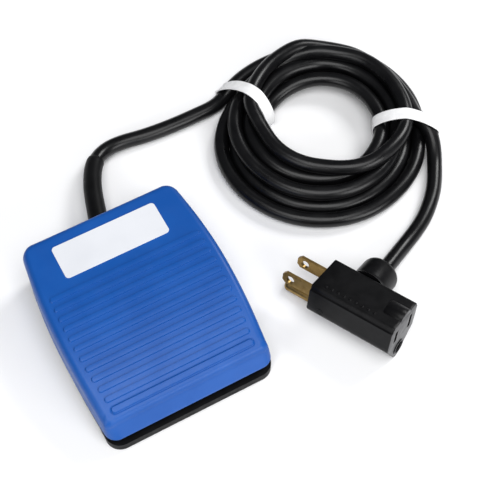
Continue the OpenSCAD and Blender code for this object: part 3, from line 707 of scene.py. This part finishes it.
def nodes_rear(y):
    zb = float(z_low(48))
    out = []
    for u in np.linspace(0, 90, 12):
        a = math.radians(u)
        out.append((3.6 - 2.9 * math.sin(a), 31.0 - 1.7 * (1 - math.cos(a))))
    for f in (0.3, 0.6, 0.85):
        out.append((0.7 - 0.05 * f, 29.3 + (13.2 - 29.3) * f))
    out += [(0.65, 13.4), (0.62, 12.7), (0.58, 12.1)]
    for f in (0.25, 0.5, 0.75, 0.92):
        out.append((0.58 * (1 - f), 12.1 + (zb + 0.12 - 12.1) * f))
    out += [(0.02, zb + 0.35), (0.0, zb + 0.2), (0.12, zb)]
    return np.array(out)


RIBS = [16.13, 11.03, 5.94, 0.86, -4.20, -9.24, -14.27, -19.27, -24.25, -29.20, -34.12, -39.01]
RIB_W, RIB_H = 1.25, 0.62
ys = {YF, YR}
for c in RIBS:
    for o in (0.0, 0.55, 0.9, 1.08, 1.2, 1.32, 1.44, 1.62, 1.95):
        ys.update((round(c + o, 3), round(c - o, 3)))
for a, b in zip(RIBS[:-1], RIBS[1:]):
    ys.add(round((a + b) / 2, 3))
ys.update(np.round(np.linspace(18.6, YR, 15), 3).tolist())
ys.update(np.round(np.linspace(40.4, YR, 8), 3).tolist())
ys.update((-41.1, -41.25))
ys = np.array(sorted(y for y in ys if YF <= y <= YR))
keep = [0]
for i in range(1, len(ys)):
    if ys[i] - ys[keep[-1]] > 0.075 or i == len(ys) - 1:
        keep.append(i)
ys = ys[keep]
# columns as shares of the half width, close together where the ribs end
ss = set(np.round(np.linspace(-0.9, 0.9, 37), 4).tolist())
near = np.round(np.concatenate([np.arange(0.912, 1.0, 0.0052), [1.0]]), 4)
ss.update(near.tolist())
ss.update((-near).tolist())
ss = np.array(sorted(ss))
nx, ny = len(ss), len(ys)
S_, Y = np.meshgrid(ss, ys)
X = S_ * grid_half(Y)
Z = z_top(Y).copy()
rib = np.zeros_like(Z)
for c in RIBS:
    half = 37.2 - 0.002 * c * c
    q = np.hypot(np.maximum(np.abs(X) - (half - RIB_W), 0), Y - c) - RIB_W
    rib = np.maximum(rib, RIB_H * smooth((0.13 - q) / 0.3) + 0.05 * smooth(-q / RIB_W))
    rib -= 0.26 * np.exp(-((q - 0.36) / 0.22) ** 2)
Zr = Z + rib

# each point on the grid's edge is tied to a point of the rim outline
grid_edge = [(j, nx - 1) for j in range(ny - 1, -1, -1)] + [(0, i) for i in range(nx - 2, -1, -1)] + [(j, 0) for j in range(1, ny)] + [(ny - 1, i) for i in range(1, nx - 1)]


def rim_target(px, py):
    """Point of the rim for a point on the grid's edge, and how much of the end wall's section it has."""
    sx = 1.0 if px >= 0 else -1.0
    g = float(grid_half(py))
    if abs(abs(px) - g) < 1e-6:
        # on a side: straight out, fanned over half of the corner near the ends
        for yc, ye, xc, r, sgn in ((YRC, YR, XRC, 6.5, 1.0), (YFC, YF, XFC, 6.0, -1.0)):
            lim = ye - sgn * 11.0
            if (py - lim) * sgn > 0:
                f = (py - lim) / (ye - lim)
                big = 294.0 if sgn > 0 else 555.0
                t0 = math.asin(yc / (big - r))
                t_end = sgn * math.pi / 4
                # arc length from the side's point at lim to the corner's middle
                l1 = abs(yc - lim) * 1.004
                l2 = abs(t_end - t0) * r
                l = (f ** 1.0) * (l1 + l2)
                if l < l1:
                    y = lim + sgn * l / 1.004
                    return np.array([sx * float(rim_half(y)), y]), 0.0
                t = t0 + sgn * (l - l1) / r
                w = 0.5 * (l - l1) / l2
                return np.array([sx * (xc + r * math.cos(t)), yc + r * math.sin(t)]), w
        return np.array([sx * float(rim_half(py)), py]), 0.0
    # on the front or the rear
    sgn = 1.0 if py > 0 else -1.0
    xc, yc, r = (XRC, YRC, 6.5) if sgn > 0 else (XFC, YFC, 6.0)
    lim = g - 11.0
    if abs(px) > lim:
        f = (abs(px) - lim) / (g - lim)
        l1 = xc - lim
        l2 = r * math.pi / 4
        l = f * (l1 + l2)
        if l < l1:
            return np.array([sx * (lim + l), sgn * L / 2]), 1.0
        t = sgn * (math.pi / 2 - (l - l1) / r)
        w = 1.0 - 0.5 * (l - l1) / l2
        return np.array([sx * (xc + r * math.cos(t)), yc + r * math.sin(t)]), w
    return np.array([px, sgn * L / 2]), 1.0


def cover_layer(Zg):
    """Vertices of one skin: grid, then rings down to the rim."""
    verts = [(X[j, i], Y[j, i], Zg[j, i]) for j in range(ny) for i in range(nx)]
    rings = []
    M = 30
    for (j, i) in grid_edge:
        px, py, pz = X[j, i], Y[j, i], Zg[j, i]
        B, w = rim_target(px, py)
        v = np.array([px, py]) - B
        reach = float(np.linalg.norm(v))
        n = v / reach
        w = float(smooth(w))
        yn = min(max(B[1], YF), YR)
        nd = (1 - w) * nodes_side(yn) + w * (nodes_front(yn) if py < 0 else nodes_rear(yn))
        # the section starts at the grid's edge, whatever the distance there
        nd = nd.copy()
        k0 = nd[0, 0]
        near_top = np.clip((nd[:, 0] - 1.2) / (k0 - 1.2), 0, 1) if k0 > 1.2 else np.zeros(len(nd))
        nd[:, 0] += (reach - k0) * near_top
        nd[:, 1] += (pz - nd[0, 1]) * np.clip(1 - np.arange(len(nd)) / 11.0, 0, 1)
        prof = nd
        s = np.r_[0, np.cumsum(np.linalg.norm(np.diff(prof, axis=0), axis=1))]
        f = np.linspace(0, 1, M + 1)[1:]
        dd = np.interp(f * s[-1], s, prof[:, 0])
        zz = np.interp(f * s[-1], s, prof[:, 1])
        rings.append([(B[0] + n[0] * a, B[1] + n[1] * a, b) for a, b in zip(dd, zz)])
    start = len(verts)
    ne = len(grid_edge)
    for m in range(M):
        verts += [rings[k][m] for k in range(ne)]
    faces = []
    for j in range(ny - 1):
        for i in range(nx - 1):
            a = j * nx + i
            faces.append((a, a + 1, a + nx + 1, a + nx))
    first = [j * nx + i for (j, i) in grid_edge]
    loops = [first] + [[start + m * ne + k for k in range(ne)] for m in range(M)]
    for A, Bl in zip(loops[:-1], loops[1:]):
        for k in range(ne):
            k2 = (k + 1) % ne
            faces.append((A[k], A[k2], Bl[k2], Bl[k]))
    return np.array(verts), faces, loops[-1]


outer_v, faces, rim = cover_layer(Zr)
plain_v, _, _ = cover_layer(Z)
# inner skin: the plain form moved in along its normals
tmp = mesh_object("tmp", plain_v, faces)
bm = bmesh.new()
bm.from_mesh(tmp.data)
bmesh.ops.recalc_face_normals(bm, faces=bm.faces)
bm.normal_update()
bm.verts.ensure_lookup_table()
N = np.array([tuple(v.normal) for v in bm.verts])
bm.free()
me_ = tmp.data
bpy.data.objects.remove(tmp)
bpy.data.meshes.remove(me_)
mid_n = N[(ny // 2) * nx + nx // 2]
if mid_n[2] < 0:
    N = -N
inner_v = plain_v - N * 1.9
rim_set = np.array(rim)
zr = plain_v[rim_set, 2]
nh = N[rim_set].copy()
nh[:, 2] = 0
nh /= np.linalg.norm(nh, axis=1)[:, None]
inner_v[rim_set] = plain_v[rim_set] - nh * 1.8
inner_v[:, 2] = np.maximum(inner_v[:, 2], np.interp(inner_v[:, 1], [-48, 48], [10.0, 6.5]))
nv = len(outer_v)
all_f = list(faces) + [tuple(i + nv for i in f[::-1]) for f in faces]
ne = len(rim)
for k in range(ne):
    k2 = (k + 1) % ne
    all_f.append((rim[k], rim[k2], rim[k2] + nv, rim[k] + nv))
cover = mesh_object("treadle_shell", np.vstack([outer_v, inner_v]), all_f)
tidy(cover)
# arch for the lead in the rear wall
a = np.radians(np.linspace(0, 180, 25))
prof2 = [(2 + 7.7 * math.cos(t), 9 + 7.7 * math.sin(t)) for t in a] + [(-5.7, 0.0), (9.7, 0.0)]
v_, f_ = loft([[(x, y, z) for x, z in prof2] for y in (43.5, 52.0)])
arch = mesh_object("arch", v_, f_, smooth=False)
tidy(arch)
cut(cover, arch)
tidy(cover)
sharpen(cover, 32)
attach(cover, "treadle")
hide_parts("treadle_cover")


# ------------------------------------------------------------------ label
def rounded_rect(w, l, r, n=7):
    pts = []
    for cx_, cy_, a0 in ((w / 2 - r, l / 2 - r, 0), (-w / 2 + r, l / 2 - r, 90), (-w / 2 + r, -l / 2 + r, 180), (w / 2 - r, -l / 2 + r, 270)):
        for a_ in np.linspace(a0, a0 + 90, n):
            t_ = math.radians(a_)
            pts.append((cx_ + r * math.cos(t_), cy_ + r * math.sin(t_)))
    return pts


def plate(name, cx_, cy_, z0, levels, n=9):
    rings = []
    for w_, l_, r_, dz in levels:
        rings.append([(cx_ + x_, cy_ + y_, z0 + dz) for x_, y_ in rounded_rect(w_, l_, r_, n)])
    v_, f_ = loft(rings)
    o = mesh_object(name, v_, f_)
    tidy(o)
    return o


label = plate("label_film", -0.2, 31.7, 31.0, [(51.2, 17.8, 1.8, 0.0), (51.2, 17.8, 1.8, 0.10), (51.08, 17.68, 1.74, 0.16), (50.6, 17.2, 1.5, 0.165)])
sharpen(label, 30)
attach(label, "treadle")
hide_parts("label_plate")


# ------------------------------------------------------------------ return spring
# closed end turns, open turns between; built as one fixed shape, though the real spring shortens as the treadle is
# pressed
SZ0, SZ1, SN = 3.55, 19.05, 7
u_ = np.linspace(0, SN, SN * 30 + 1)
sz_ = np.where(u_ < 1, SZ0 + 1.05 * u_, np.where(u_ > SN - 1, SZ1 - 1.05 * (SN - u_), SZ0 + 1.05 + (SZ1 - SZ0 - 2.1) * (u_ - 1) / (SN - 2)))
spring = tube("spring_wire", np.stack([4.6 * np.cos(2 * math.pi * u_), -33.0 + 4.6 * np.sin(2 * math.pi * u_), sz_], 1), 0.5, sides=12)
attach(spring, "base")
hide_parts("return_spring")
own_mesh(spring)


# ------------------------------------------------------------------ materials
class Nodes:
    """Small builder for a procedural material."""

    def __init__(self, name):
        self.m = bpy.data.materials.new(name)
        self.m.use_nodes = True
        self.t = self.m.node_tree
        self.t.nodes.clear()
        self.out = self.t.nodes.new("ShaderNodeOutputMaterial")
        self.b = self.t.nodes.new("ShaderNodeBsdfPrincipled")
        self.t.links.new(self.b.outputs[0], self.out.inputs[0])
        self.co = self.t.nodes.new("ShaderNodeTexCoord")

    def n(self, kind, **kw):
        x = self.t.nodes.new("ShaderNode" + kind)
        for k, v in kw.items():
            setattr(x, k, v)
        return x

    def link(self, a, b):
        self.t.links.new(a, b)

    def noise(self, scale, detail=4.0, rough=0.55, vec=None):
        x = self.n("TexNoise")
        x.inputs["Scale"].default_value = scale
        x.inputs["Detail"].default_value = detail
        x.inputs["Roughness"].default_value = rough
        self.link(vec or self.co.outputs["Object"], x.inputs["Vector"])
        return x.outputs["Fac"]

    def ramp(self, src, stops):
        x = self.n("ValToRGB")
        e = x.color_ramp.elements
        while len(e) > len(stops):
            e.remove(e[-1])
        while len(e) < len(stops):
            e.new(0.5)
        for s, (p, c) in zip(e, stops):
            s.position = p
            s.color = (*c, 1) if len(c) == 3 else c
        self.link(src, x.inputs["Fac"])
        return x.outputs["Color"]

    def span(self, src, lo, hi, a=0.0, b=1.0):
        x = self.n("MapRange")
        x.inputs["From Min"].default_value = a
        x.inputs["From Max"].default_value = b
        x.inputs["To Min"].default_value = lo
        x.inputs["To Max"].default_value = hi
        self.link(src, x.inputs["Value"])
        return x.outputs["Result"]

    def math(self, op, a, b=None):
        x = self.n("Math", operation=op)
        for k, v in enumerate((a, b)):
            if v is None:
                continue
            if isinstance(v, (int, float)):
                x.inputs[k].default_value = v
            else:
                self.link(v, x.inputs[k])
        return x.outputs[0]

    def bump(self, src, strength, dist, prev=None):
        x = self.n("Bump")
        x.inputs["Strength"].default_value = strength
        x.inputs["Distance"].default_value = dist
        self.link(src, x.inputs["Height"])
        if prev is not None:
            self.link(prev, x.inputs["Normal"])
        return x.outputs["Normal"]

    def edges(self, width=0.35):
        """Pointiness as a worn-edge mask."""
        g = self.n("NewGeometry")
        return self.span(g.outputs["Pointiness"], 0.0, 1.0, 0.5 + 0.02, 0.5 + 0.02 + width * 0.2)


def plastic(name, dark, light, rough=(0.3, 0.45), grain=2600.0, grain_mm=0.02, spec=0.5, coat=0.0, coat_rough=0.25, blotch=90.0, edge=None, grain2=None, ior=1.46):
    k = Nodes(name)
    big = k.noise(blotch, 3.0, 0.5)
    fine = k.noise(grain, 2.0, 0.6)
    col = k.ramp(big, [(0.35, dark), (0.65, light)])
    if edge is not None:
        mx = k.n("Mix", data_type="RGBA")
        k.link(k.edges(), mx.inputs["Factor"])
        k.link(col, mx.inputs["A"])
        mx.inputs["B"].default_value = (*edge, 1)
        col = mx.outputs["Result"]
    k.link(col, k.b.inputs["Base Color"])
    smear = k.noise(blotch * 3.1, 5.0, 0.65)
    k.link(k.span(smear, rough[0], rough[1], 0.3, 0.7), k.b.inputs["Roughness"])
    nrm = k.bump(fine, 0.35, grain_mm * MM)
    if grain2:
        nrm = k.bump(k.noise(grain2[0], 3.0, 0.5), 0.5, grain2[1] * MM, nrm)
    k.link(nrm, k.b.inputs["Normal"])
    k.b.inputs["IOR"].default_value = ior
    k.b.inputs["Specular IOR Level"].default_value = spec
    k.b.inputs["Coat Weight"].default_value = coat
    k.b.inputs["Coat Roughness"].default_value = coat_rough
    return k.m


def metal(name, dark, light, rough=(0.22, 0.4), brush=(40, 2400, 2400), blotch=260.0, edge=None):
    k = Nodes(name)
    big = k.noise(blotch, 4.0, 0.6)
    col = k.ramp(big, [(0.3, dark), (0.7, light)])
    k.link(col, k.b.inputs["Base Color"])
    k.b.inputs["Metallic"].default_value = 1.0
    mp = k.n("Mapping")
    mp.inputs["Scale"].default_value = brush
    k.link(k.co.outputs["Object"], mp.inputs["Vector"])
    br = k.noise(1.0, 4.0, 0.6, mp.outputs["Vector"])
    k.link(k.span(br, rough[0], rough[1], 0.3, 0.7), k.b.inputs["Roughness"])
    k.link(k.bump(br, 0.25, 0.02 * MM), k.b.inputs["Normal"])
    return k.m


def jacket(name, dark, light, rough):
    """Round vinyl lead: satin, faint lay of the cores under the jacket, fine drawn lines."""
    k = Nodes(name)
    uv = k.n("UVMap", uv_map="along")
    sep = k.n("SeparateXYZ")
    k.link(uv.outputs["UV"], sep.inputs[0])
    # helix of three cores: 3 lobes, one turn in about 70 mm
    ph = k.math("ADD", k.math("MULTIPLY", sep.outputs["X"], 6.28318 * 3), k.math("MULTIPLY", sep.outputs["Y"], 6.28318 * 3 / 0.7))
    lay = k.math("SINE", ph)
    streak_v = k.n("CombineXYZ")
    k.link(k.math("MULTIPLY", sep.outputs["X"], 90.0), streak_v.inputs["X"])
    k.link(k.math("MULTIPLY", sep.outputs["Y"], 6.0), streak_v.inputs["Y"])
    streak = k.noise(1.0, 3.0, 0.6, streak_v.outputs[0])
    fine = k.noise(3200, 2.0, 0.6)
    blot = k.noise(120, 4.0, 0.55)
    k.link(k.ramp(blot, [(0.3, dark), (0.7, light)]), k.b.inputs["Base Color"])
    k.link(k.span(k.math("ADD", k.math("MULTIPLY", blot, 0.6), k.math("MULTIPLY", streak, 0.4)), rough[0], rough[1], 0.3, 0.7), k.b.inputs["Roughness"])
    n1 = k.bump(lay, 0.5, 0.05 * MM)
    n2 = k.bump(streak, 0.25, 0.02 * MM, n1)
    n3 = k.bump(fine, 0.2, 0.012 * MM, n2)
    k.link(n3, k.b.inputs["Normal"])
    k.b.inputs["IOR"].default_value = 1.5
    k.b.inputs["Specular IOR Level"].default_value = 0.3
    return k.m


MATS = {
    "cover_blue": plastic("blue_abs", (0.003, 0.064, 0.292), (0.005, 0.074, 0.322), rough=(0.36, 0.46), grain=1500, grain_mm=0.03, blotch=45, grain2=(420, 0.012), coat=0.0, spec=0.34),
    "base_black": plastic("black_abs", (0.0022, 0.0022, 0.0025), (0.0045, 0.0045, 0.005), rough=(0.42, 0.56), grain=1400, grain_mm=0.03, spec=0.11),
    "rubber_black": plastic("foot_rubber", (0.012, 0.012, 0.012), (0.02, 0.02, 0.02), rough=(0.7, 0.85), grain=900, grain_mm=0.05, spec=0.3),
    "fish_paper": plastic("insulating_board", (0.26, 0.20, 0.12), (0.34, 0.27, 0.17), rough=(0.75, 0.9), grain=700, grain_mm=0.05),
    "phenolic_black": plastic("phenolic_black", (0.012, 0.012, 0.013), (0.02, 0.02, 0.021), rough=(0.35, 0.5)),
    "phenolic_brown": plastic("phenolic_brown", (0.07, 0.022, 0.012), (0.10, 0.034, 0.02), rough=(0.35, 0.5)),
    "plunger_red": plastic("plunger_red", (0.45, 0.02, 0.015), (0.55, 0.03, 0.02), rough=(0.25, 0.35)),
    "connector_red": plastic("connector_red", (0.42, 0.03, 0.025), (0.5, 0.045, 0.035), rough=(0.3, 0.42)),
    "wire_black": plastic("wire_black", (0.01, 0.01, 0.01), (0.018, 0.018, 0.018), rough=(0.3, 0.42)),
    "wire_white": plastic("wire_white", (0.62, 0.62, 0.6), (0.72, 0.72, 0.7), rough=(0.3, 0.42)),
    "wire_green": plastic("wire_green", (0.015, 0.20, 0.05), (0.025, 0.27, 0.075), rough=(0.3, 0.42)),
    "sleeve_black": plastic("sleeve_vinyl", (0.0020, 0.0020, 0.0024), (0.004, 0.004, 0.0045), rough=(0.42, 0.55), grain=1800, grain_mm=0.02, spec=0.17),
    "plug_black": plastic("plug_vinyl", (0.002, 0.002, 0.0024), (0.0045, 0.0045, 0.005), rough=(0.28, 0.40), grain=1700, grain_mm=0.03, blotch=160, grain2=(600, 0.02), spec=0.18),
    "label_white": plastic("label_film", (0.61, 0.625, 0.66), (0.66, 0.675, 0.71), rough=(0.35, 0.5), grain=1200, grain_mm=0.008, blotch=30),
    "tie_white": plastic("tie_tape", (0.78, 0.78, 0.785), (0.86, 0.86, 0.865), rough=(0.5, 0.65), grain=900, grain_mm=0.03, blotch=300, grain2=(350, 0.07)),
    "cord_black": jacket("lead_vinyl", (0.0018, 0.0018, 0.0022), (0.0038, 0.0038, 0.0043), (0.24, 0.36)),
    "steel": metal("zinc_steel", (0.52, 0.53, 0.54), (0.66, 0.67, 0.68)),
    "spring_steel": metal("spring_wire", (0.42, 0.42, 0.43), (0.55, 0.55, 0.56)),
    "brass": metal("blade_brass", (0.27, 0.172, 0.055), (0.40, 0.27, 0.10), rough=(0.28, 0.46), blotch=420),
    "contact_copper": metal("contact_bronze", (0.62, 0.34, 0.16), (0.72, 0.42, 0.2)),
    "screw_green": metal("green_screw", (0.04, 0.24, 0.08), (0.06, 0.33, 0.12), rough=(0.3, 0.45)),
}
slot_of = {s["node"]: s["material_slot"] for s in frame["record"]["subparts"]}


def dress(obj, mat):
    if not obj.material_slots:
        obj.data.materials.append(mat)
    for s in obj.material_slots:
        s.material = mat


for name, obj in frame["nodes"].items():
    dress(obj, MATS[slot_of[name]])
dress(lead, MATS["cord_black"])
dress(sleeve, MATS["sleeve_black"])
dress(tie_l, MATS["tie_white"])
dress(tie_r, MATS["tie_white"])
dress(plug_obj, MATS["plug_black"])
dress(boss, MATS["plug_black"])
dress(face_obj, MATS["plug_black"])
# same vinyl as the moulding, painted lighter: a painted reflection of the floor on the socket face
face_obj.material_slots[1].material = plastic("socket_face_painted_reflection", (0.034, 0.034, 0.036), (0.044, 0.044, 0.047), rough=(0.34, 0.46), grain=1700, grain_mm=0.03, blotch=160, spec=0.45)
dress(cover, MATS["cover_blue"])
dress(label, MATS["label_white"])
dress(spring, MATS["spring_steel"])

# ease the hard edges of the parts carried over from the frame
for name in ("base_tray", "line_blade", "neutral_blade", "rubber_feet"):
    o = frame["nodes"][name]
    m = o.modifiers.new("ease", "BEVEL")
    m.width = {"base_tray": 0.0007, "rubber_feet": 0.0005}.get(name, 0.00018)
    m.segments = 3
    m.limit_method = "ANGLE"
    m.angle_limit = math.radians(50)
    m.harden_normals = False

# ------------------------------------------------------------------ floor and light
floor_me = bpy.data.meshes.new("floor")
floor_me.from_pydata([(-3, -3, 0), (3, -3, 0), (3, 3, 0), (-3, 3, 0)], [], [(0, 1, 2, 3)])
floor = link(bpy.data.objects.new("floor", floor_me))
kf = Nodes("paper_floor")
kf.link(kf.ramp(kf.noise(3.0, 2.0), [(0.3, (0.86, 0.86, 0.865)), (0.7, (0.88, 0.88, 0.885))]), kf.b.inputs["Base Color"])
kf.link(kf.span(kf.noise(60.0, 2.0), 0.75, 0.85), kf.b.inputs["Roughness"])
kf.b.inputs["Specular IOR Level"].default_value = 0.2
dress(floor, kf.m)


def area(name, loc, target, size, power, color=(1, 1, 1), shape="RECTANGLE", size_y=None):
    d = bpy.data.lights.new(name, "AREA")
    d.shape = shape
    d.size = size
    d.size_y = size_y or size
    d.energy = power
    d.color = color
    o = link(bpy.data.objects.new(name, d))
    o.location = loc
    v = Vector(target) - Vector(loc)
    o.rotation_euler = v.to_track_quat("-Z", "Y").to_euler()
    return o


area("overhead", (-0.12, -0.42, 1.25), (0.06, 0.02, 0.0), 1.1, 14.5, size_y=0.9)
area("key_side", (1.10, 0.24, 0.95), (0.06, 0.02, 0.0), 0.5, 10.0)
area("front_left", (-1.1, -0.6, 0.55), (0.05, 0.0, 0.0), 0.8, 6.0)
area("front_right", (0.42, -1.30, 0.50), (0.05, 0.0, 0.0), 0.8, 12.0)
world = bpy.data.worlds.new("studio")
world.use_nodes = True
bg = world.node_tree.nodes["Background"]
bg.inputs[0].default_value = (0.9, 0.93, 1.0, 1)
bg.inputs[1].default_value = 0.15
scene.world = world
scene.view_settings.view_transform = "Standard"
scene.view_settings.look = "None"
